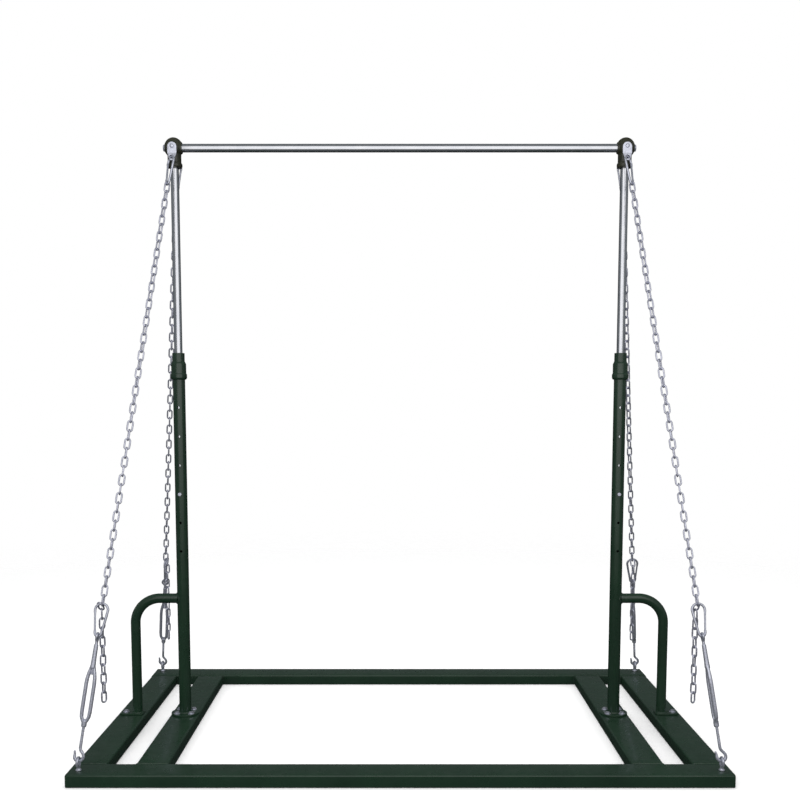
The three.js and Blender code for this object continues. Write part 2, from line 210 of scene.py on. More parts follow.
def pipe(outer, inner, z0, z1, sides=64, edge=0.4 * MM, cuts=()):
    """A tube about Z with softened rims, and rings of points at the heights in cuts."""
    outside = [(outer, z) for z in cuts]
    inside = [(inner, z) for z in reversed(cuts)]
    corners = [(inner, z0, edge), (outer, z0, edge), *outside, (outer, z1, edge), (inner, z1, edge), *inside]
    return lathe(corners, sides, 2)


def rod(radius, z0, z1, sides=48, edge=0.3 * MM):
    corners = [(0, z0), (radius, z0, edge), (radius, z1, edge), (0, z1)]
    return lathe(corners, sides, 2)


def swept(path, radius, up, sides=16, closed=False, flatten=1.0, tips=True):
    """A wire along points. radius is a number or one for each point, and so is up, its upward side."""
    path = [Vector(p) for p in path]
    count = len(path)
    radii = radius if isinstance(radius, list) else [radius] * count
    ups = up if isinstance(up, list) else [Vector(up)] * count
    stations = []
    for i, at in enumerate(path):
        ahead = path[(i + 1) % count] if closed else path[min(i + 1, count - 1)]
        behind = path[i - 1] if closed else path[max(i - 1, 0)]
        tangent = (ahead - behind).normalized()
        side = tangent.cross(ups[i]).normalized()
        stations.append((at, tangent, side, side.cross(tangent), radii[i]))
    if not closed and tips:
        # Rounded ends out of three shrinking rings.
        first, last = stations[0], stations[-1]
        for degrees in (25, 50, 72):
            grow, shrink = math.sin(math.radians(degrees)), math.cos(math.radians(degrees))
            at, tangent, side, above, size = first
            stations.insert(0, (at - tangent * size * grow, tangent, side, above, size * shrink))
            at, tangent, side, above, size = last
            stations.append((at + tangent * size * grow, tangent, side, above, size * shrink))
    points = []
    for at, tangent, side, above, size in stations:
        points += [at + side * size * a + above * size * flatten * b for a, b in circle(0, 0, 1, sides)]
    rings = len(stations)
    faces = []
    for i in range(rings if closed else rings - 1):
        for k in range(sides):
            a, b = i * sides + k, i * sides + (k + 1) % sides
            shift = ((i + 1) % rings - i) * sides
            faces.append([a, a + shift, b + shift, b])
    if not closed:
        faces.append(list(range(sides)))
        faces.append([(rings - 1) * sides + k for k in reversed(range(sides))])
    return mesh_of(points, faces)


def hexagon(across_flats, height):
    """A hexagonal head or nut from 0 up, its upper corners chamfered."""
    sides = 48
    flat = across_flats / 2
    chamfer = flat * 0.95
    outline = []
    for i in range(sides):
        angle = 2 * math.pi * i / sides
        reach = flat / math.cos((angle + math.pi / 6) % (math.pi / 3) - math.pi / 6)
        outline.append((math.cos(angle), math.sin(angle), reach))
    points = [(0, 0, 0), (0, 0, height)]
    faces = []
    for x, y, reach in outline:
        shoulder = height - max(reach - chamfer, 0) * math.tan(math.radians(30))
        points += [(x * reach, y * reach, 0), (x * reach, y * reach, shoulder),
                   (x * chamfer, y * chamfer, height)]
    for i in range(sides):
        a, b = 2 + 3 * i, 2 + 3 * ((i + 1) % sides)
        faces += [[0, b, a], [a, b, b + 1, a + 1], [a + 1, b + 1, b + 2, a + 2], [a + 2, b + 2, 1]]
    return mesh_of(points, faces)


def washer(outer, inner, height):
    return pipe(outer, inner, 0, height, 40, edge=min(0.3 * MM, height / 3))


def thread(radius, pitch, z0, z1, hand=1):
    """A threaded rod along Z. hand is 1 for a right-handed thread and -1 for a left-handed one."""
    sides, per_turn, depth = 20, 6, 0.55 * MM
    rings = round((z1 - z0) / pitch * per_turn)
    points, faces = [], []
    for k in range(rings + 1):
        z = z0 + (z1 - z0) * k / rings
        fade = min(1.0, k / per_turn, (rings - k) / per_turn)
        for i in range(sides):
            turn = (z / pitch - hand * i / sides) % 1
            reach = radius - depth * (1 - abs(2 * turn - 1)) * fade - (1 - fade) * depth
            angle = 2 * math.pi * i / sides
            points.append((reach * math.cos(angle), reach * math.sin(angle), z))
    for k in range(rings):
        for i in range(sides):
            a, b = k * sides + i, k * sides + (i + 1) % sides
            faces.append([a, b, b + sides, a + sides])
    faces.append(list(reversed(range(sides))))
    faces.append([rings * sides + i for i in range(sides)])
    return mesh_of(points, faces)


def plate(outline, thickness, holes=(), edge=0.8 * MM):
    """A flat plate about the XY plane with rounded edges. Outlines are lists of (x, y) points."""
    data = bpy.data.curves.new("plate", "CURVE")
    data.dimensions, data.fill_mode = "2D", "BOTH"
    data.extrude, data.bevel_depth, data.bevel_resolution = thickness / 2 - edge, edge, 2
    data.offset = -edge
    for points in (outline, *holes):
        spline = data.splines.new("POLY")
        spline.points.add(len(points) - 1)
        for corner, (x, y) in zip(spline.points, points):
            corner.co = (x, y, 0, 1)
        spline.use_cyclic_u = True
    holder = bpy.data.objects.new("plate", data)
    mesh = bpy.data.meshes.new_from_object(holder)
    bpy.data.objects.remove(holder)
    body = bmesh.new()
    body.from_mesh(mesh)
    bmesh.ops.remove_doubles(body, verts=body.verts, dist=1e-6)
    bmesh.ops.recalc_face_normals(body, faces=body.faces)
    body.to_mesh(mesh)
    body.free()
    return mesh


def circle(x, y, radius, count=32):
    angles = [2 * math.pi * i / count for i in range(count)]
    return [(x + radius * math.cos(a), y + radius * math.sin(a)) for a in angles]


def arc(x, y, radius, start, end, steps):
    """Points on an arc, with angles in degrees from +X towards +Y."""
    angles = [math.radians(start + (end - start) * i / steps) for i in range(steps + 1)]
    return [(x + radius * math.cos(a), y + radius * math.sin(a)) for a in angles]


def with_modifiers(mesh, *settings):
    """The mesh after modifiers, each given as (kind, {setting: value})."""
    holder = linked("holder", mesh)
    for kind, values in settings:
        modifier = holder.modifiers.new(kind, kind)
        for name, value in values.items():
            setattr(modifier, name, value)
    evaluated = holder.evaluated_get(bpy.context.evaluated_depsgraph_get())
    made = bpy.data.meshes.new_from_object(evaluated)
    bpy.data.objects.remove(holder)
    return made


def drilled(mesh, tools):
    """The mesh with the tools cut out of it, one after another."""
    holders = [linked("tool", tool) for tool in tools]
    made = with_modifiers(mesh, *[
        ("BOOLEAN", {"operation": "DIFFERENCE", "solver": "EXACT", "object": holder}) for holder in holders
    ])
    for holder in holders:
        bpy.data.objects.remove(holder)
    return made


def cast(parts, voxel, smoothing):
    """Parts melted into one body whose inner corners are soft, as in a casting or forging."""
    return with_modifiers(
        joined(parts),
        ("REMESH", {"mode": "VOXEL", "voxel_size": voxel}),
        ("SMOOTH", {"factor": 0.5, "iterations": smoothing}),
    )


def weld(path, ups, width=3.2 * MM, closed=False):
    """A weld bead with the ripples of its passes along a path."""
    points = [Vector(p) for p in path]
    pitch, per_ripple = 2.6 * MM, 5
    if closed:
        points.append(points[0])
        ups = ups + [ups[0]]
    lengths = [0.0]
    for a, b in zip(points, points[1:]):
        lengths.append(lengths[-1] + (b - a).length)
    ripples = max(3, round(lengths[-1] / pitch))
    count = ripples * per_ripple
    line, sides, radii = [], [], []
    k = 0
    for i in range(count if closed else count + 1):
        s = lengths[-1] * i / count
        while k < len(points) - 2 and lengths[k + 1] < s:
            k += 1
        t = (s - lengths[k]) / (lengths[k + 1] - lengths[k])
        line.append(points[k].lerp(points[k + 1], t))
        sides.append(ups[k].lerp(ups[k + 1], t).normalized())
        wave = (i % per_ripple) / per_ripple
        radii.append(width * (0.93 + 0.1 * math.sin(math.pi * wave) + 0.05 * math.sin(i * 0.7)))
    return swept(line, radii, sides, sides=10, closed=closed, flatten=0.8)


# ---- Procedural finishes ----
def nodes_of(tree):
    """Makes shader nodes in a tree, with their inputs given as values or as sockets to link."""
    def node(kind, inputs=None, **settings):
        made = tree.nodes.new("ShaderNode" + kind)
        for name, value in settings.items():
            setattr(made, name, value)
        for name, value in (inputs or {}).items():
            if isinstance(value, bpy.types.NodeSocket):
                tree.links.new(value, made.inputs[name])
            else:
                made.inputs[name].default_value = value
        return made
    return node


class Finish:
    """One Principled material. Its textures lie in the object's own space, in metres."""

    def __init__(self, name, **values):
        self.material = bpy.data.materials.new(name)
        self.material.use_nodes = True
        self.tree = self.material.node_tree
        self.shader = self.tree.nodes["Principled BSDF"]
        for socket, value in values.items():
            self.shader.inputs[socket.replace("_", " ")].default_value = value
        self.node = nodes_of(self.tree)
        self.place = self.node("TexCoord").outputs["Object"]

    def noise(self, scale, detail=3, rough=0.5, stretch=None):
        place = self.place
        if stretch:
            place = self.node("Mapping", {"Vector": place, "Scale": stretch}).outputs[0]
        values = {"Vector": place, "Scale": scale, "Detail": detail, "Roughness": rough}
        return self.node("TexNoise", values).outputs[0]

    def spots(self, scale):
        return self.node("TexVoronoi", {"Vector": self.place, "Scale": scale}).outputs[0]

    def ranged(self, value, low, high, to_low, to_high):
        values = {"Value": value, "From Min": low, "From Max": high, "To Min": to_low, "To Max": to_high}
        return self.node("MapRange", values).outputs[0]

    def maths(self, operation, a, b):
        return self.node("Math", {0: a, 1: b}, operation=operation).outputs[0]

    def mixed(self, share, a, b):
        """Two colours or colour sockets mixed by share."""
        return self.node("Mix", {0: share, 6: a, 7: b}, data_type="RGBA").outputs[2]

    def upward(self, low, high):
        """How far the surface faces up, from 0 to 1."""
        normal = self.node("NewGeometry").outputs["Normal"]
        z = self.node("SeparateXYZ", {0: normal}).outputs[2]
        return self.ranged(z, low, high, 0, 1)

    def edges(self, low, high):
        """The outer edges and corners, from 0 to 1."""
        return self.ranged(self.node("NewGeometry").outputs["Pointiness"], low, high, 0, 1)

    def feed(self, socket, value):
        self.tree.links.new(value, self.shader.inputs[socket])

    def feed_roughness(self, rough, patches, more):
        self.feed("Roughness", self.maths("ADD", rough, self.maths("MULTIPLY", patches, more)))

    def bumps(self, *heights):
        """Bumps over each other, each given as (height, strength, depth in metres)."""
        normal = None
        for height, strength, depth in heights:
            values = {"Height": height, "Strength": strength, "Distance": depth}
            if normal:
                values["Normal"] = normal
            normal = self.node("Bump", values).outputs[0]
        self.feed("Normal", normal)


def linear(red, green, blue):
    """A linear colour from an sRGB one in 0 to 255."""
    def one(value):
        value /= 255
        return value / 12.92 if value <= 0.04045 else ((value + 0.055) / 1.055) ** 2.4
    return (one(red), one(green), one(blue), 1)


def enamel():
    """Glossy green enamel with orange peel, faint scuffs, rubbed edges, and painted sheen in grey patches on
    its upward faces.
    """
    finish = Finish("green_enamel", Coat_Weight=0.45, Coat_Roughness=0.12, IOR=1.5)
    # The pale grey-green colour serves both the rubbed edges and the painted sheen on the upward faces.
    colour, light, wear_and_top_sheen = linear(17, 40, 26), linear(24, 49, 33), linear(62, 70, 66)
    cloud = finish.ranged(finish.noise(7, 4), 0.3, 0.7, 0, 1)
    fine = finish.ranged(finish.noise(420, 2), 0.35, 0.65, 0, 0.35)
    tone = finish.mixed(cloud, colour, light)
    tone = finish.mixed(fine, tone, colour)
    # Grey patches on the upward faces: a painted reflection of the bright surroundings on the tops.
    patches = finish.ranged(finish.noise(38, 5, 0.7), 0.45, 0.8, 0, 0.22)
    tone = finish.mixed(finish.maths("MULTIPLY", finish.upward(0.8, 1), patches), tone, wear_and_top_sheen)
    scuffs = finish.ranged(finish.noise(60, 2, 0.6, (1, 14, 3)), 0.68, 0.74, 0, 0.2)
    tone = finish.mixed(scuffs, tone, light)
    wear = finish.ranged(finish.noise(90, 4, 0.7), 0.5, 0.62, 0, 0.6)
    tone = finish.mixed(finish.maths("MULTIPLY", finish.edges(0.52, 0.6), wear), tone, wear_and_top_sheen)
    finish.feed("Base Color", tone)
    rough = finish.ranged(finish.noise(24, 4, 0.6), 0.3, 0.7, 0.23, 0.39)
    finish.feed_roughness(rough, scuffs, 0.4)
    finish.bumps((finish.noise(18, 1), 0.06, 0.6 * MM), (finish.noise(330, 2), 0.07, 0.25 * MM))
    return finish.material


def cast_paint():
    """Thick olive paint over a sand casting."""
    finish = Finish("olive_casting", Coat_Weight=0.3, Coat_Roughness=0.2)
    deep, pale = linear(30, 32, 20), linear(46, 47, 31)
    tone = finish.mixed(finish.ranged(finish.noise(45, 4), 0.3, 0.7, 0, 1), deep, pale)
    wear = finish.ranged(finish.noise(160, 3), 0.4, 0.6, 0, 0.7)
    rubbed = finish.maths("MULTIPLY", finish.edges(0.53, 0.62), wear)
    finish.feed("Base Color", finish.mixed(rubbed, tone, linear(76, 75, 57)))
    finish.feed("Roughness", finish.ranged(finish.noise(70, 3), 0.3, 0.7, 0.3, 0.48))
    finish.bumps((finish.noise(190, 4, 0.6), 0.3, 0.6 * MM), (finish.noise(850, 2), 0.15, 0.2 * MM))
    return finish.material


def polished(name, stretch):
    """Polished tube with fine draw marks along it. stretch is small along the tube."""
    finish = Finish(name, Metallic=1.0)
    draw = finish.noise(900, 3, 0.6, stretch)
    cloud = finish.ranged(finish.noise(12, 3), 0.3, 0.7, 0, 1)
    tone = finish.mixed(cloud, linear(214, 216, 222), linear(228, 229, 233))
    stain = finish.ranged(finish.noise(55, 4, 0.7), 0.62, 0.75, 0, 0.3)
    finish.feed("Base Color", finish.mixed(stain, tone, linear(178, 176, 174)))
    finish.feed_roughness(finish.ranged(draw, 0.3, 0.7, 0.13, 0.2), stain, 0.25)
    finish.bumps((draw, 0.05, 0.04 * MM), (finish.noise(35, 1), 0.02, 0.2 * MM))
    return finish.material


def zinc(name, dark, bright):
    """Bright zinc plate: a faint crystal pattern, duller spots and small pits."""
    finish = Finish(name, Metallic=0.85)
    crystal = finish.ranged(finish.spots(260), 0, 0.5, 0, 0.35)
    tone = finish.mixed(crystal, bright, dark)
    dull = finish.ranged(finish.noise(120, 4, 0.7), 0.55, 0.75, 0, 0.3)
    finish.feed("Base Color", finish.mixed(dull, tone, linear(120, 122, 126)))
    rough = finish.ranged(finish.noise(210, 3), 0.3, 0.7, 0.23, 0.4)
    finish.feed_roughness(rough, dull, 0.3)
    finish.bumps((finish.noise(600, 3, 0.6), 0.1, 0.12 * MM))
    return finish.material


def nylon():
    finish = Finish("moulded_nylon", IOR=1.53)
    tone = finish.mixed(finish.noise(60, 3), linear(34, 34, 35), linear(50, 50, 51))
    finish.feed("Base Color", tone)
    finish.feed("Roughness", finish.ranged(finish.noise(300, 2), 0.3, 0.7, 0.45, 0.6))
    finish.bumps((finish.noise(700, 2), 0.2, 0.1 * MM))
    return finish.material


GREEN = enamel()
OLIVE = cast_paint()
POST_STEEL = polished("post_steel", (1, 1, 0.03))
BAR_STEEL = polished("bar_steel", (0.03, 1, 1))
ZINC = zinc("zinc_plate", linear(174, 178, 195), linear(226, 228, 240))
CHAIN_ZINC = zinc("chain_zinc", linear(182, 184, 202), linear(228, 229, 243))
NYLON = nylon()


def piece(name, parts, material, body, nodes=(), sharp=32):
    """One finished object from its parts. It rides on a body and stands for CAD nodes."""
    mesh = joined(parts) if isinstance(parts, list) else parts
    mesh.name = name
    mesh.materials.clear()
    mesh.materials.append(material)
    mesh.shade_smooth()
    mesh.set_sharp_from_angle(angle=math.radians(sharp))
    made = linked(name, mesh)
    if body:
        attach(made, body)
    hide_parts(*nodes)
    return made


# ---- Stays: where each one runs ----
class Stay:
    """One corner's stay. Its own frame stands on the hook's bow: +Z along the stay, +X across.

    The turns are in degrees about the stay. The tail hangs tail_aside further in along X, and tail_top is
    the height of its first link's top over the bow of the snap link.
    """

    def __init__(self, name, x, y, buckle_turn, snap_turn, upper_turn, tail_aside, tail_top):
        self.name, self.x, self.y = name, x, y
        self.buckle_turn, self.snap_turn, self.upper_turn = buckle_turn, snap_turn, upper_turn
        self.tail_place = Vector((-x * tail_aside, 0, tail_top))
        self.foot = Vector((x * EYE_BOLT.x, -y * EYE_BOLT.y, HOOK_FOOT_Z))
        hole_y = HANGER_FACE + HANGER_THICK / 2 * math.cos(HANGER_BEND) + HOLE_ALONG * math.sin(HANGER_BEND)
        hole_z = (BAR_Z - HANGER_FALL - HOLE_ALONG * math.cos(HANGER_BEND)
                  + HANGER_THICK / 2 * math.sin(HANGER_BEND))
        top = Vector((x * BOLT_X, y * hole_y, hole_z))
        self.length = (top - self.foot).length
        self.upper_from = self.length - SNAP_LENGTH
        self.along = (top - self.foot).normalized()
        self.across = (Vector((1, 0, 0)) - self.along * self.along.x).normalized()
        self.normal = self.along.cross(self.across)
        turn = Matrix((self.across, self.normal, self.along)).transposed().to_4x4()
        self.matrix = Matrix.Translation(self.foot) @ turn

    def at(self, distance):
        return self.foot + self.along * distance

    def placed(self, mesh, turn=0.0):
        """A mesh in the stay's own frame, turned about the stay by degrees and put in its place."""
        return moved(mesh, self.matrix @ Matrix.Rotation(math.radians(turn), 4, "Z"))


STAYS = [
    Stay("front_left", -1, -1, 0, 0, 130, *mm(-9, 3.5)),
    Stay("front_right", 1, -1, 90, 0, 50, *mm(0, 1.5)),
    Stay("rear_left", -1, 1, 0, 90, 50, *mm(9, 5.5)),
    Stay("rear_right", 1, 1, 90, 0, 130, *mm(0, 1.5)),
]


# ---- Chains ----
# Twists and wobbles are in degrees, and the sway is a slope.
WOBBLE, UPPER_TWIST, TAIL_TWIST, TAIL_WOBBLE = 5, 16, 14, 8
TAIL_LEAN, TAIL_SWAY = math.radians(40), 0.02


def chain_link(pitch, weld_side=1):
    """A welded link along Z, from its lower wire's centre at 0 up, its broad side across X."""
    bend = CHAIN_WIDTH / 2 - CHAIN_WIRE
    straight = pitch + 2 * CHAIN_WIRE - 2 * bend
    low, high = bend, bend + straight
    outline = arc(0, high, bend, 0, 180, 8)
    outline += [(-bend, low + straight * t) for t in (0.62, 0.5, 0.38)]
    outline += arc(0, low, bend, 180, 360, 8)
    outline += [(bend, low + straight * t) for t in (0.38, 0.5, 0.62)]
    path = [Vector((x, 0, z)) for x, z in outline]
    radii = [CHAIN_WIRE * (1.1 if abs(p.z - low - straight / 2) < 0.2 * MM and p.x * weld_side > 0 else 1)
             for p in path]
    return swept(path, radii, (0, 1, 0), sides=10, closed=True)


def make_chain(stay):
    """The stretch between the two snap links. Its end links stand across them."""
    first = LOWER_SNAP_FROM + SNAP_LENGTH - SNAP_WIRE - CHAIN_WIRE
    last = stay.upper_from + SNAP_WIRE + CHAIN_WIRE
    pitch = (last - first - 2 * CHAIN_WIRE) / CHAIN_LINKS
    twist = (stay.upper_turn - stay.snap_turn - 90) % 180
    if twist > 90:
        twist -= 180
    links = [chain_link(pitch, 1), chain_link(pitch, -1)]
    parts = []
    for i in range(CHAIN_LINKS):
        share = i / (CHAIN_LINKS - 1)
        slack = WOBBLE * math.sin(3.1 * i + stay.x + 2 * stay.y) * math.sin(math.pi * share)
        slack += stay.x * stay.y * UPPER_TWIST * math.sin(math.pi * share ** 2)
        turn = stay.snap_turn + 90 * (i + 1) + twist * share + slack
        link = shifted(links[(i * 7 // 3) % 2], z=first + pitch * i)
        parts.append(stay.placed(link, turn))
    made = piece(f"{stay.name}_chain_links", parts, CHAIN_ZINC, None, [f"{stay.name}_chain"])
    stay.at(first)
    stay.at(last)
    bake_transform(made)
    steps = 16
    path = [stay.at(first + (last - first) * i / steps) for i in range(steps + 1)]
    return pitch


def make_tail(stay, pitch):
    """The spare links below the hooked one. The first leans on the snap link, and the rest hang plumb."""
    top = stay.at(LOWER_SNAP_FROM + SNAP_LENGTH) + stay.tail_place
    leaning = Vector((0, -stay.y * math.sin(TAIL_LEAN), -math.cos(TAIL_LEAN))).normalized()
    parts, path = [], [top]
    length = pitch + 2 * CHAIN_WIRE
    links = [chain_link(pitch, 1), chain_link(pitch, -1)]
    at = top
    for i in range(TAIL_LINKS):
        twist = TAIL_TWIST * min(i, 3) + TAIL_WOBBLE * math.sin(2.3 * i + stay.x + stay.y)
        turn = math.radians(stay.snap_turn + 90 * i + twist)
        plumb = Vector((TAIL_SWAY * math.sin(1.9 * i), TAIL_SWAY * math.cos(2.7 * i), -1)).normalized()
        hang = plumb if i else leaning
        side = Vector((math.cos(turn), math.sin(turn), 0))
        side = (side - hang * side.dot(hang)).normalized()
        frame_of = Matrix((side, (-hang).cross(side), -hang)).transposed().to_4x4()
        low = at + hang * length
        parts.append(moved(links[i % 2], Matrix.Translation(low) @ frame_of))
        path.append(low)
        at = low - hang * 2 * CHAIN_WIRE
    made = piece(f"{stay.name}_tail_links", parts, CHAIN_ZINC, f"{stay.name}_tail",
                 [f"{stay.name}_chain_tail"])


for stay in STAYS:
    make_tail(stay, make_chain(stay))


# ---- Stays: hooks, turnbuckles, eyes and snap links ----
ROD_R, THREAD_PITCH = mm(4.5, 1.75)
HOOK_BOW, HOOK_LEAN, HOOK_TIP, HOOK_END = mm(13.5, 1.5, 14, 125)
BUCKLE_FROM, BUCKLE_TO, BUCKLE_WIDTH, BUCKLE_BAR = mm(101, 350, 36, 11.5)
# One side bar from below: how far out and how thick, as shares of the whole, at heights in millimetres.
BUCKLE_SIDE = [(0.2, 0.38, 113), (0.55, 0.42, 120), (0.9, 0.48, 131), (1, 0.5, 145), (1, 0.5, 180),
               (1, 0.5, 232), (0.93, 0.49, 246), (0.72, 0.46, 262), (0.42, 0.42, 277), (0.15, 0.4, 291),
               (0.05, 0.4, 303)]
EYE_AT, EYE_RING, EYE_WIRE, EYE_ROD_FROM = mm(374, 10, 4, 258)


def bezier(a, b, c, d, steps):
    a, b, c, d = (Vector(p) for p in (a, b, c, d))
    made = []
    for i in range(1, steps + 1):
        t = i / steps
        made.append((1 - t) ** 3 * a + 3 * t * (1 - t) ** 2 * b + 3 * t * t * (1 - t) * c + t ** 3 * d)
    return made


def hook_mesh():
    """The bow bulges to +X and its tip stands on the -X side."""
    bow, top = HOOK_BOW, 3 * HOOK_BOW
    ease = bow * 0.9
    line = [Vector((-bow - HOOK_LEAN, bow + HOOK_TIP))]
    line += bezier(line[0], (-bow, bow + HOOK_TIP / 2), (-bow, bow + 3 * MM), (-bow, bow), 6)
    line += [Vector(p) for p in arc(0, bow, bow, 180, 360, 24)[1:]]
    line += bezier((bow, bow), (bow, bow + ease), (0, top - ease), (0, top), 14)
    line += [Vector((0, top + 6 * MM)), Vector((0, top + 20 * MM))]
    radii = []
    for i, point in enumerate(line):
        tip = min(1.0, 0.72 + 0.28 * i / 8)
        belly = 0.12 * max(0.0, 1 - abs(point.y) / (1.4 * bow))
        radii.append(ROD_R * (tip + belly))
    bent = swept([(p.x, 0, p.y) for p in line], radii, (0, 1, 0), sides=20)
    return joined([bent, thread(ROD_R, THREAD_PITCH, top + 18 * MM, HOOK_END)])


def buckle_mesh():
    """A forged open body: two flat bars between a short threaded neck below and a long one above."""
    middle_out = (BUCKLE_WIDTH - BUCKLE_BAR) / 2
    parts = []
    for side in (-1, 1):
        path = [(side * middle_out * out, 0, z * MM) for out, thick, z in BUCKLE_SIDE]
        radii = [BUCKLE_BAR * thick for out, thick, z in BUCKLE_SIDE]
        parts.append(swept(path, radii, (0, 1, 0), sides=16, flatten=1.1))
    parts.append(rod(8.1 * MM, BUCKLE_FROM, 119 * MM, 32, edge=1.5 * MM))
    parts.append(lathe([mm(0, 278), mm(8.4, 278), mm(7.3, 300, 6), (6.5 * MM, BUCKLE_TO, 1.2 * MM),
                        (0, BUCKLE_TO)], 32))
    return cast(parts, 1.1 * MM, 4)


def ring_mesh(radius, wire, sides=20):
    path = [(x, 0, z) for x, z in arc(0, 0, radius, 0, 360, 40)[:-1]]
    return swept(path, wire, (0, 1, 0), sides=sides, closed=True)


def eye_mesh():
    neck = lathe([(0, 0), (ROD_R, 0), (ROD_R, 10 * MM, 3 * MM), (ROD_R + 2 * MM, 18 * MM), (0, 18 * MM)], 24)
    neck = shifted(neck, z=EYE_AT - EYE_RING - 16 * MM)
    forged = cast([shifted(ring_mesh(EYE_RING, EYE_WIRE), z=EYE_AT), neck], 0.9 * MM, 3)
    return joined([forged, thread(ROD_R, THREAD_PITCH, EYE_ROD_FROM, EYE_AT - EYE_RING - 15 * MM, hand=-1)])


def snap_mesh(gate):
    """A pear-shaped snap link from 0 up, wide end up. gate is the side that its sprung gate is on."""
    low, high = SNAP_SMALL, SNAP_LENGTH - SNAP_LARGE
    lean = math.degrees(math.asin((SNAP_LARGE - SNAP_SMALL) / (high - low)))
    bottom = arc(0, low, SNAP_SMALL, -lean, -180 + lean, 14)
    top = arc(0, high, SNAP_LARGE, 180 - lean, -lean, 22)
    (hinge_x, hinge_z), (nose_x, nose_z) = bottom[0], top[-1]

    def on_gate(t):
        return (hinge_x + (nose_x - hinge_x) * t, hinge_z + (nose_z - hinge_z) * t)

    pivot = on_gate(0.13)
    body = [pivot, on_gate(0.05), *bottom]
    spine = [(-hinge_x - (nose_x - hinge_x) * t, hinge_z + (nose_z - hinge_z) * t) for t in (0.25, 0.5, 0.75)]
    body += spine + top + [on_gate(0.93)]
    path = [(x * gate, 0, z) for x, z in body]
    bar = [on_gate(t) for t in (0.11, 0.2, 0.5, 0.8, 0.9, 0.96)]
    widths = [SNAP_WIRE * k for k in (0.72, 0.8, 0.8, 0.8, 0.86, 0.78)]
    gate_path = [(x * gate, 0, z) for x, z in bar]
    pin_end = SNAP_WIRE + 0.6 * MM
    pin = turned_about(rod(1.4 * MM, -pin_end, pin_end, 16), "X", 90)
    return joined([
        swept(path, SNAP_WIRE, (0, 1, 0), sides=18, tips=False),
        swept(gate_path, widths, (0, 1, 0), sides=16),
        shifted(pin, x=pivot[0] * gate, z=pivot[1]),
    ])


def eye_bolt_mesh():
    ring_z = 66 * MM
    foot = RAIL_TOP + GAP
    shank = lathe([
        (0, foot), (9 * MM, foot, 0.8 * MM), (9 * MM, foot + 4 * MM, 1.2 * MM),
        (6 * MM, foot + 6 * MM, 2 * MM), (5.5 * MM, ring_z - 11 * MM), (0, ring_z - 11 * MM)], 32)
    ring = turned_about(ring_mesh(*mm(13.5, 4.5), 24), "Z", 90)
    forged = cast([shank, shifted(ring, z=ring_z)], 1.0 * MM, 3)
    below = thread(5 * MM, 1.5 * MM, RAIL_TOP - 16 * MM, foot + 1 * MM)
    nut = shifted(hexagon(*mm(17, 8)), z=RAIL_TOP - 2.5 * MM - GAP - 8 * MM)
    return joined([forged, below, nut])


HOOK, BUCKLE, EYE, BOLT = hook_mesh(), buckle_mesh(), eye_mesh(), eye_bolt_mesh()
SNAPS = {gate: snap_mesh(gate) for gate in (-1, 1)}

for stay in STAYS:
    name = stay.name
    side = -1 if stay.x < 0 else 1
    lower = shifted(SNAPS[side], z=LOWER_SNAP_FROM)
    upper = shifted(SNAPS[1], z=stay.upper_from)
    for word, mesh, body, part in (
            ("forged_eye_bolt", shifted(BOLT, stay.foot.x, stay.foot.y), "root", "eye_bolt"),
            ("forged_hook", stay.placed(HOOK), "root", "hook"),
            ("forged_body", stay.placed(BUCKLE, stay.buckle_turn), f"{name}_buckle", "turnbuckle_body"),
            ("forged_eye", stay.placed(EYE, stay.snap_turn + 90), f"{name}_draw", "turnbuckle_eye"),
            ("lower_link", stay.placed(lower, stay.snap_turn), f"{name}_draw", "lower_snap"),
            ("upper_link", stay.placed(upper, stay.upper_turn), "portal", "upper_snap")):
        piece(f"{name}_{word}", mesh, ZINC, body, [f"{name}_{part}"])


# ---- Base frame ----
def rail_mesh(node):
    """A box tube with rounded long corners and softer ends."""
    low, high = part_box(node)
    size = high - low
    lengthwise = 0 if size.x > size.y else 1
    body = bmesh.new()
    bmesh.ops.create_cube(body, size=1)
    for vert in body.verts:
        vert.co = (low + high) / 2 + Vector(a * b for a, b in zip(vert.co, size))

    def runs_lengthwise(edge):
        step = edge.verts[0].co - edge.verts[1].co
        return abs(step[lengthwise]) > 0.9 * size[lengthwise]

    long_edges = [e for e in body.edges if runs_lengthwise(e)]
    bmesh.ops.bevel(body, geom=long_edges, offset=RAIL_CORNER, segments=6, affect="EDGES", profile=0.5)
    ends = [f for f in body.faces if abs(f.normal[lengthwise]) > 0.99]
    rims = list({e for f in ends for e in f.edges})
    bmesh.ops.bevel(body, geom=rims, offset=RAIL_END, segments=3, affect="EDGES", profile=0.5)
    # Rings along the rail keep its faces short enough for even shading.
    for i in range(1, 20):
        at = low.copy()
        at[lengthwise] = low[lengthwise] + size[lengthwise] * i / 20
        across = Vector((0, 0, 0))
        across[lengthwise] = 1
        geometry = body.verts[:] + body.edges[:] + body.faces[:]
        bmesh.ops.bisect_plane(body, geom=geometry, plane_co=at, plane_no=across)
    mesh = bpy.data.meshes.new("rail")
    body.to_mesh(mesh)
    body.free()
    return mesh


def butt_weld(x, y):
    """The bead where a rail along Y meets the front or rear rail, up one side, over the top and down."""
    half, corner = 50 * MM, RAIL_CORNER * 0.35
    shoulder, side, sunk = half - RAIL_CORNER, half + 0.8 * MM, RAIL_TOP - 0.4 * MM
    line = [(x - side, 4 * MM), (x - side, RAIL_TOP - RAIL_CORNER), (x - half + corner, RAIL_TOP - corner),
            (x - shoulder, sunk), (x + shoulder, sunk), (x + half - corner, RAIL_TOP - corner),
            (x + side, RAIL_TOP - RAIL_CORNER), (x + side, 4 * MM)]
    outward = [Vector(v).normalized() for v in (
        (-1, 0, 0), (-1, 0, 0), (-1, 0, 1), (0, 0, 1), (0, 0, 1), (1, 0, 1), (1, 0, 0), (1, 0, 0))]
    return weld([(px, y, pz) for px, pz in line], outward, width=3.0 * MM)


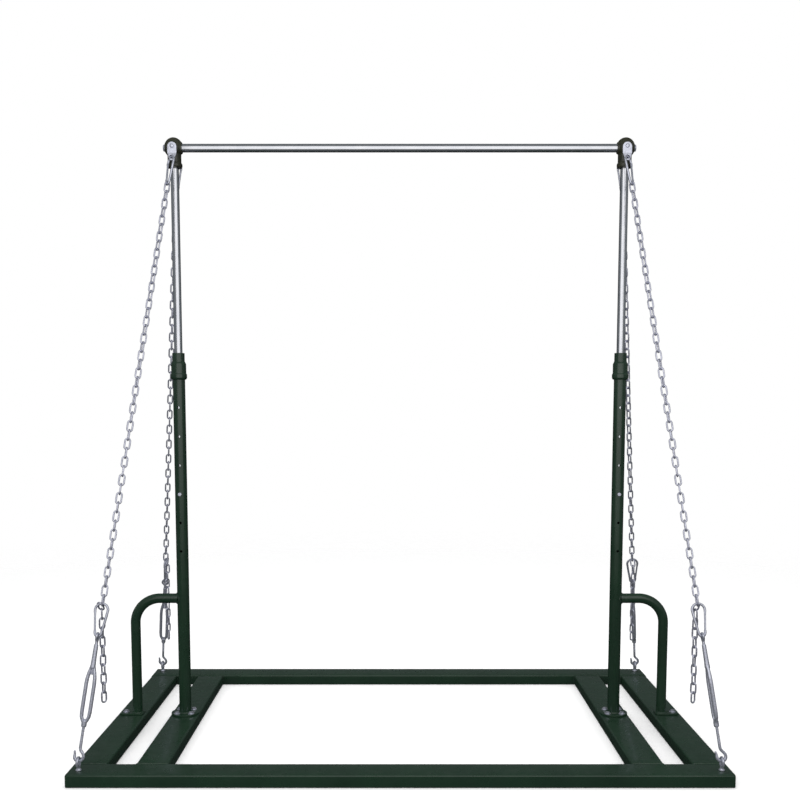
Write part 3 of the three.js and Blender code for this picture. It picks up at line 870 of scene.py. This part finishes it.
inner_x = middle("right_inner_rail").x
joint_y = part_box("front_rail")[1].y
for node, facing in (("front_rail", 1), ("rear_rail", -1)):
    y = joint_y * facing
    beads = [butt_weld(x * s, y) for x in (inner_x, OUTER_RAIL_X) for s in (-1, 1)]
    piece(f"{node}_box", [rail_mesh(node), *beads], GREEN, "root", [node], sharp=40)


# ---- One side's posts, brace, collar, head and pin, built for the right and mirrored for the left ----
def bolt_with_washer(x, y, z, flats=13 * MM, turn=0.0):
    head = shifted(hexagon(flats, 5.5 * MM), z=2.2 * MM)
    rim = washer(flats * 0.85, 4.4 * MM, 2.2 * MM)
    stub = rod(*mm(4.2, -8, 2.5), 24)
    return shifted(turned_about(joined([head, rim, stub]), "Z", turn), x, y, z)


def flange_bolts():
    top = RAIL_TOP + FLANGE_H
    bolts = []
    for i in range(4):
        angle = math.radians(45 + 90 * i)
        x, y = POST_X + BOLT_CIRCLE * math.cos(angle), BOLT_CIRCLE * math.sin(angle)
        bolts.append(bolt_with_washer(x, y, top, turn=11 * i))
    return joined(bolts)


def ring_weld(x, radius, z, count, width):
    """A bead round the foot of an upright tube."""
    out = [Vector((a, b, 1)).normalized() for a, b in circle(0, 0, 1, count)]
    return weld([(a, b, z) for a, b in circle(x, 0, radius, count)], out, width=width, closed=True)


def lower_post_mesh():
    base, flange_top = RAIL_TOP + GAP, RAIL_TOP + FLANGE_H
    cuts, drills = [], []
    for i in range(HOLES):
        z = HOLE_LOWEST + HOLE_PITCH * i
        cuts += [z + step for step in mm(-9, -5, 5, 9)]
        drills.append(shifted(turned_about(rod(HOLE_R, -30 * MM, 30 * MM, 32), "X", 90), z=z))
    tube = pipe(LOWER_R, LOWER_R - LOWER_WALL, base + 2 * MM, LOWER_TOP, 80, cuts=[0.3, 0.5, *cuts])
    tube = drilled(tube, drills)
    disc = lathe([
        (LOWER_R - LOWER_WALL, base), (FLANGE_R, base, 0.8 * MM), (FLANGE_R, flange_top, 1.2 * MM),
        (LOWER_R - LOWER_WALL, flange_top)], 96)
    lift = 1.2 * MM
    bead = ring_weld(0, LOWER_R + lift, flange_top + lift, 48, 3.8 * MM)
    return shifted(joined([tube, disc, bead]), x=POST_X)


def brace_mesh():
    foot_top = RAIL_TOP + GAP + FOOT_H
    bend_x, bend_z = BRACE_LEG_X - BRACE_BEND, BRACE_Z - BRACE_BEND
    path = [(BRACE_LEG_X, foot_top - 1 * MM + (bend_z - foot_top) * i / 8) for i in range(8)]
    path += arc(bend_x, bend_z, BRACE_BEND, 0, 90, 28)
    end = POST_X + LOWER_R - 3 * MM
    path += [(bend_x + (end - bend_x) * t, BRACE_Z) for t in (0.3, 0.6, 1)]
    tube = swept([(x, 0, z) for x, z in path], BRACE_R, (0, 1, 0), sides=48, tips=False)
    half, soft = FOOT_DEPTH / 2, 9 * MM
    outline = softened([(FOOT_FROM, -half, soft), (FOOT_TO, -half, soft), (FOOT_TO, half, soft),
                        (FOOT_FROM, half, soft)], 6)
    foot = shifted(plate(outline, FOOT_H, [circle(FOOT_BOLT_X, 0, 5 * MM)], edge=1 * MM),
                   z=RAIL_TOP + GAP + FOOT_H / 2)
    low_bead = ring_weld(BRACE_LEG_X, BRACE_R * 1.06, foot_top + 1 * MM, 40, 3.2 * MM)
    saddle, out = [], []
    for up, across in circle(0, 0, 1, 40):
        y, z = across * BRACE_R * 1.05, up * BRACE_R * 1.05
        saddle.append((POST_X + math.sqrt(LOWER_R ** 2 - y * y) + 0.6 * MM, y, BRACE_Z + z))
        out.append(Vector((1, across, up)).normalized())
    return joined([tube, foot, low_bead, weld(saddle, out, width=3.0 * MM, closed=True)])


def collar_mesh():
    bore, upper_bore = LOWER_R + GAP, UPPER_R + GAP
    ledge = LOWER_TOP + GAP - COLLAR_BASE
    collar = lathe([
        (bore, 0, 0.5 * MM), (bore + 2.8 * MM, 0, 0.6 * MM), mm(28, 5, 2.5), mm(28, 18, 2), mm(25.5, 21, 1.5),
        mm(25.5, 54, 3), mm(21, 62, 3), mm(21, 91, 1.5), (upper_bore, 91 * MM, 0.6 * MM),
        (upper_bore, ledge), (bore, ledge)], 80, 5)
    return shifted(collar, POST_X, 0, COLLAR_BASE)


def head_mesh():
    """The cast head: a ball on a beaded neck, with an outlet for the bar and a boss on each face."""
    ball_r, top, offset = mm(32, 35, 2)
    ball = [(0, -ball_r)]
    for degrees in range(-84, 85, 6):
        a = math.radians(degrees)
        ball.append((ball_r * math.cos(a), (top if degrees > 0 else ball_r) * math.sin(a)))
    ball = shifted(turned(ball + [(0, top)], 64), x=offset)
    neck = lathe([mm(0, -66), mm(24, -66, 1.5), mm(26.3, -62, 1.5), mm(26.3, -53, 2), mm(23, -49, 2),
                  mm(23, 0), mm(0, 0)])
    outlet = lathe([mm(0, 0), mm(18.5, 0), mm(18.5, 18, 1), mm(20, 20, 1.5), mm(20, 25.5, 1.5),
                    mm(18, 27, 1), mm(0, 27)])
    outlet = turned_about(outlet, "Y", -90)
    boss = lathe([mm(0, -33), mm(12, -33, 0.8), mm(12, 33, 0.8), mm(0, 33)], 48)
    boss = shifted(turned_about(boss, "X", 90), x=BOLT_OUT)
    body = cast([ball, neck, outlet, boss], 1.15 * MM, 5)
    post_bore = rod(UPPER_R + GAP, -80 * MM, -20 * MM, 64)
    bar_bore = turned_about(rod(UPPER_R + GAP, -20 * MM, 40 * MM, 64), "Y", -90)
    bolt_bore = shifted(turned_about(rod(*mm(4.3, -50, 50), 32), "X", 90), x=BOLT_OUT)
    body = drilled(body, [post_bore, bar_bore, bolt_bore])
    return shifted(body, x=POST_X, z=BAR_Z)


def cap_screw():
    """The hexagonal screw in the outer end of the head."""
    screw = joined([hexagon(*mm(22, 6)), washer(*mm(13, 5, 1.5)), rod(*mm(5, -8, 1), 24)])
    screw = turned_about(turned_about(screw, "Z", 12), "Y", 90)
    return shifted(screw, x=POST_X + 30.5 * MM, z=BAR_Z)


def hanger_mesh(facing):
    """A bent plate: upright against the head, and below it a leaf that bends outward with a hole."""
    half = HANGER_WIDTH / 2
    leaf_z = -HANGER_FALL - HANGER_LEAF + LEAF_TIP
    outline = arc(0, HANGER_RISE - half, half, 0, 180, 20)
    outline += [(-half, -HANGER_FALL)]
    outline += arc(0, leaf_z, LEAF_TIP, 195, 345, 16)
    outline += [(half, -HANGER_FALL)]
    holes = [circle(0, 0, 4.3 * MM), circle(0, -HANGER_FALL - HOLE_ALONG, HANGER_HOLE)]
    flat = plate(outline, HANGER_THICK, holes, edge=0.7 * MM)
    body = bmesh.new()
    body.from_mesh(flat)
    reach = 3 * MM
    for i in range(9):
        y = -HANGER_FALL + reach * (0.5 - i / 8)
        geometry = body.verts[:] + body.edges[:] + body.faces[:]
        bmesh.ops.bisect_plane(body, geom=geometry, plane_co=(0, y, 0), plane_no=(0, 1, 0))
    # The plate stands up with its outer face to -Y, and bends outward below the line.
    for vert in body.verts:
        x, down, out = vert.co.x, -vert.co.y - HANGER_FALL, vert.co.z + HANGER_THICK / 2
        t = min(max(down / reach + 0.5, 0), 1)
        angle = HANGER_BEND * t
        radius = reach / HANGER_BEND
        z = -reach / 2 + radius * math.sin(angle) if t > 0 else down
        y = radius * (1 - math.cos(angle))
        beyond = max(down - reach / 2, 0)
        z += beyond * math.cos(angle)
        y += beyond * math.sin(angle)
        vert.co = (x, -(y + out * math.cos(angle)), -(z - out * math.sin(angle)) - HANGER_FALL)
    bmesh.ops.recalc_face_normals(body, faces=body.faces)
    body.to_mesh(flat)
    body.free()
    front = shifted(flat, BOLT_X, -HANGER_FACE, BAR_Z)
    return front if facing < 0 else moved(front, Matrix.Scale(-1, 4, (0, 1, 0)))


def through_bolt_mesh():
    out = HANGER_FACE + HANGER_THICK + GAP
    shank = rod(4 * MM, -out - 1 * MM, out + 1 * MM, 32)
    cap = lathe([mm(0, 0), mm(7, 0, 0.4), mm(6.4, 2.2, 1.2), mm(3, 3.4, 1), mm(0, 3.5)], 40)
    nut = shifted(hexagon(*mm(13, 3.4)), z=out)
    upright = joined([shank, shifted(cap, z=out), turned_about(nut, "X", 180)])
    return shifted(turned_about(upright, "X", 90), BOLT_X, 0, BAR_Z)


def pin_mesh():
    """A locking pin with a knurled head in front and a tapered tip behind."""
    front = -LOWER_R - GAP
    back = 27 * MM
    shank = lathe([(0, front - 1 * MM), (4 * MM, front - 1 * MM), (4 * MM, back - 3 * MM, 0.8 * MM),
                   (2.6 * MM, back, 0.6 * MM), (0, back)], 40)
    ridges, points, faces = 30, [], []
    count = ridges * 4
    chamfer = 0.7 * MM
    rings = [(0, 0, PIN_HEAD_Y), (5.4, 0, PIN_HEAD_Y), (6.3, 0.2, PIN_HEAD_Y + chamfer),
             (6.3, 0.2, front - chamfer), (5.4, 0, front), (0, 0, front)]
    for radius, knurl, y in rings:
        for i in range(count):
            angle = 2 * math.pi * i / count
            reach = radius * MM + knurl * MM * math.cos(ridges * angle)
            points.append((reach * math.cos(angle), reach * math.sin(angle), y))
    for k in range(len(rings) - 1):
        for i in range(count):
            j = (i + 1) % count
            faces.append([k * count + i, k * count + j, (k + 1) * count + j, (k + 1) * count + i])
    head = mesh_of(points, faces)
    body = bmesh.new()
    body.from_mesh(head)
    bmesh.ops.remove_doubles(body, verts=body.verts, dist=1e-7)
    body.to_mesh(head)
    body.free()
    return shifted(turned_about(joined([shank, head]), "X", -90), POST_X, 0, PIN_Z)


def bush_mesh():
    low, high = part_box("right_guide_bush")
    bush = pipe(LOWER_R - LOWER_WALL - GAP, UPPER_R + GAP, low.z, high.z, 48, edge=0.8 * MM)
    return shifted(bush, x=POST_X)


def upper_post_mesh():
    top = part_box("right_upper_post")[1].z
    steps = [UPPER_FOOT + (top - UPPER_FOOT) * i / 12 for i in range(1, 12)]
    return shifted(pipe(UPPER_R, UPPER_R - UPPER_WALL, UPPER_FOOT, top, 72, cuts=steps), x=POST_X)


RIGHT = {
    "lower_post": ("turned_post", lower_post_mesh(), GREEN),
    "brace": ("bent_brace", brace_mesh(), GREEN),
    "collar": ("turned_collar", collar_mesh(), GREEN),
    "upper_post": ("polished_post", upper_post_mesh(), POST_STEEL),
    "guide_bush": ("moulded_bush", bush_mesh(), NYLON),
    "head": ("cast_head", head_mesh(), OLIVE),
    "through_bolt": ("head_bolt", through_bolt_mesh(), ZINC),
    "front_hanger": ("front_plate", hanger_mesh(-1), ZINC),
    "rear_hanger": ("rear_plate", hanger_mesh(1), ZINC),
}
EXTRAS = {
    "flange_bolts": (flange_bolts(), "root"),
    "brace_bolt": (bolt_with_washer(FOOT_BOLT_X, 0, RAIL_TOP + GAP + FOOT_H, turn=20), "root"),
    "cap_screw": (cap_screw(), "portal"),
}
PIN_MESH = pin_mesh()
MIRROR = Matrix.Scale(-1, 4, (1, 0, 0))
bodies = frame["record"]["behaviour"]["bodies"]


def body_with(node):
    return next(body for body, members in bodies.items() if node in members)


for side, matrix in (("left", MIRROR), ("right", Matrix.Identity(4))):
    for part, (word, mesh, material) in RIGHT.items():
        node = f"{side}_{part}"
        piece(f"{side}_{word}", moved(mesh, matrix), material, body_with(node), [node])
    for word, (mesh, body) in EXTRAS.items():
        piece(f"{side}_{word}", moved(mesh, matrix), ZINC, body)
    piece(f"{side}_knurled_pin", moved(PIN_MESH, matrix), ZINC, f"{side}_pin", [f"{side}_locking_pin"])
    for rail in ("inner_rail", "outer_rail"):
        node = f"{side}_{rail}"
        piece(f"{node}_box", rail_mesh(node), GREEN, "root", [node], sharp=40)


def bar_mesh():
    low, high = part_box("bar")
    steps = [low.x + (high.x - low.x) * i / 16 for i in range(1, 16)]
    tube = pipe(UPPER_R, UPPER_R - UPPER_WALL, low.x, high.x, 72, cuts=steps)
    return shifted(turned_about(tube, "Y", 90), z=BAR_Z)


piece("polished_bar", bar_mesh(), BAR_STEEL, "portal", ["bar"])


# ---- Floor, light and world ----
def make_floor():
    """A wide disc that thins out far from the object, so that it has no far edge."""
    radius, sides = 9.0, 96
    fade_from, fade_to = 1.6, 5.5
    points = [(0, 0, 0)] + [(x, y, 0) for x, y in circle(0, 0, radius, sides)]
    mesh = mesh_of(points, [[0, 1 + i, 1 + (i + 1) % sides] for i in range(sides)])
    finish = Finish("floor", Base_Color=(0.9, 0.9, 0.9, 1), Emission_Color=(1, 1, 1, 1),
                    Emission_Strength=0.15, Roughness=0.9)
    away = finish.node("VectorMath", {0: finish.place}, operation="LENGTH").outputs["Value"]
    limits = {"Value": away, "From Min": fade_from, "From Max": fade_to, "To Min": 1, "To Max": 0}
    finish.feed("Alpha", finish.node("MapRange", limits, interpolation_type="SMOOTHSTEP").outputs[0])
    mesh.materials.append(finish.material)
    floor = linked("floor", mesh)
    floor.visible_glossy = floor.visible_diffuse = False


def make_light(name, place, target, size, power):
    data = bpy.data.lights.new(name, "AREA")
    data.shape, data.size, data.size_y = "RECTANGLE", *size
    data.energy = power
    light = linked(name, data)
    light.location = place
    light.rotation_euler = (Vector(target) - Vector(place)).to_track_quat("-Z", "Y").to_euler()
    light.visible_camera = light.visible_glossy = False


def make_screen():
    """A white screen in front, soft at its edges. It shows in the gloss and gives no other light."""
    low, high, y = Vector((-2.2, 0, 0)), Vector((2.4, 0, 3.9)), -1.6
    # The screen has its full strength from full_low to full_high.
    full_low, full_high, brightness = Vector((-0.9, 0, 1.3)), Vector((1.4, 0, 2.9)), 1.15
    corners = [(low.x, y, low.z), (high.x, y, low.z), (high.x, y, high.z), (low.x, y, high.z)]
    mesh = mesh_of(corners, [[0, 1, 2, 3]])
    material = bpy.data.materials.new("screen")
    material.use_nodes = True
    material.node_tree.nodes.clear()
    node = nodes_of(material.node_tree)
    axes = node("SeparateXYZ", {0: node("TexCoord").outputs["Object"]}).outputs

    strength = node("Value").outputs[0]
    strength.default_value = brightness
    for axis in (0, 2):
        for start, end in ((low[axis], full_low[axis]), (high[axis], full_high[axis])):
            limits = {"Value": axes[axis], "From Min": start, "From Max": end, "To Min": 0, "To Max": 1}
            part = node("MapRange", limits, interpolation_type="SMOOTHSTEP").outputs[0]
            strength = node("Math", {0: strength, 1: part}, operation="MULTIPLY").outputs[0]
    node("OutputMaterial", {0: node("Emission", {"Strength": strength}).outputs[0]})
    mesh.materials.append(material)
    screen = linked("screen", mesh)
    screen.visible_camera = screen.visible_diffuse = screen.visible_shadow = False


def make_world():
    """White to the camera. The lower half gives little light, and the back shows dim in the gloss."""
    soft_above, soft_below = 0.8, 0.08
    gloss_above, gloss_below = 0.2, 0.09
    back_above, back_below, back_from = 0.08, 0.02, 0.3
    white, bluish = (1, 1, 1, 1), (0.88, 0.96, 1, 1)
    world = bpy.data.worlds.new("studio")
    scene.world = world
    world.use_nodes = True
    world.node_tree.nodes.clear()
    node = nodes_of(world.node_tree)
    direction = node("SeparateXYZ", {0: node("TexCoord").outputs["Generated"]}).outputs

    def beyond(value, limit):
        return node("Math", {0: value, 1: limit}, operation="GREATER_THAN").outputs[0]

    def choice(share, without, with_it):
        return node("Mix", {0: share, 2: without, 3: with_it}, data_type="FLOAT").outputs[0]

    def sky(colour, strength):
        return node("Background", {"Color": colour, "Strength": strength}).outputs[0]

    above, back = beyond(direction[2], 0.0), beyond(direction[1], back_from)
    around, under = choice(back, gloss_above, back_above), choice(back, gloss_below, back_below)
    mirrored = sky(bluish, choice(above, under, around))
    soft = sky(white, choice(above, soft_below, soft_above))
    ray = node("LightPath").outputs
    gloss = node("MixShader", {0: ray["Is Glossy Ray"], 1: soft, 2: mirrored}).outputs[0]
    shown = node("MixShader", {0: ray["Is Camera Ray"], 1: gloss, 2: sky(white, 1.0)}).outputs[0]
    node("OutputWorld", {0: shown})


make_floor()
make_world()
make_screen()
make_light("key", (-1.9, -4.4, 1.7), (0, 0, 1.0), (2.8, 3.2), 120)
make_light("fill", (3.6, -2.6, 2.4), (0, 0, 0.9), (1.2, 2.4), 26)
make_light("top", (0, 0.6, 4.6), (0, 0, 0), (3.0, 2.4), 60)
scene.view_settings.view_transform = "Standard"
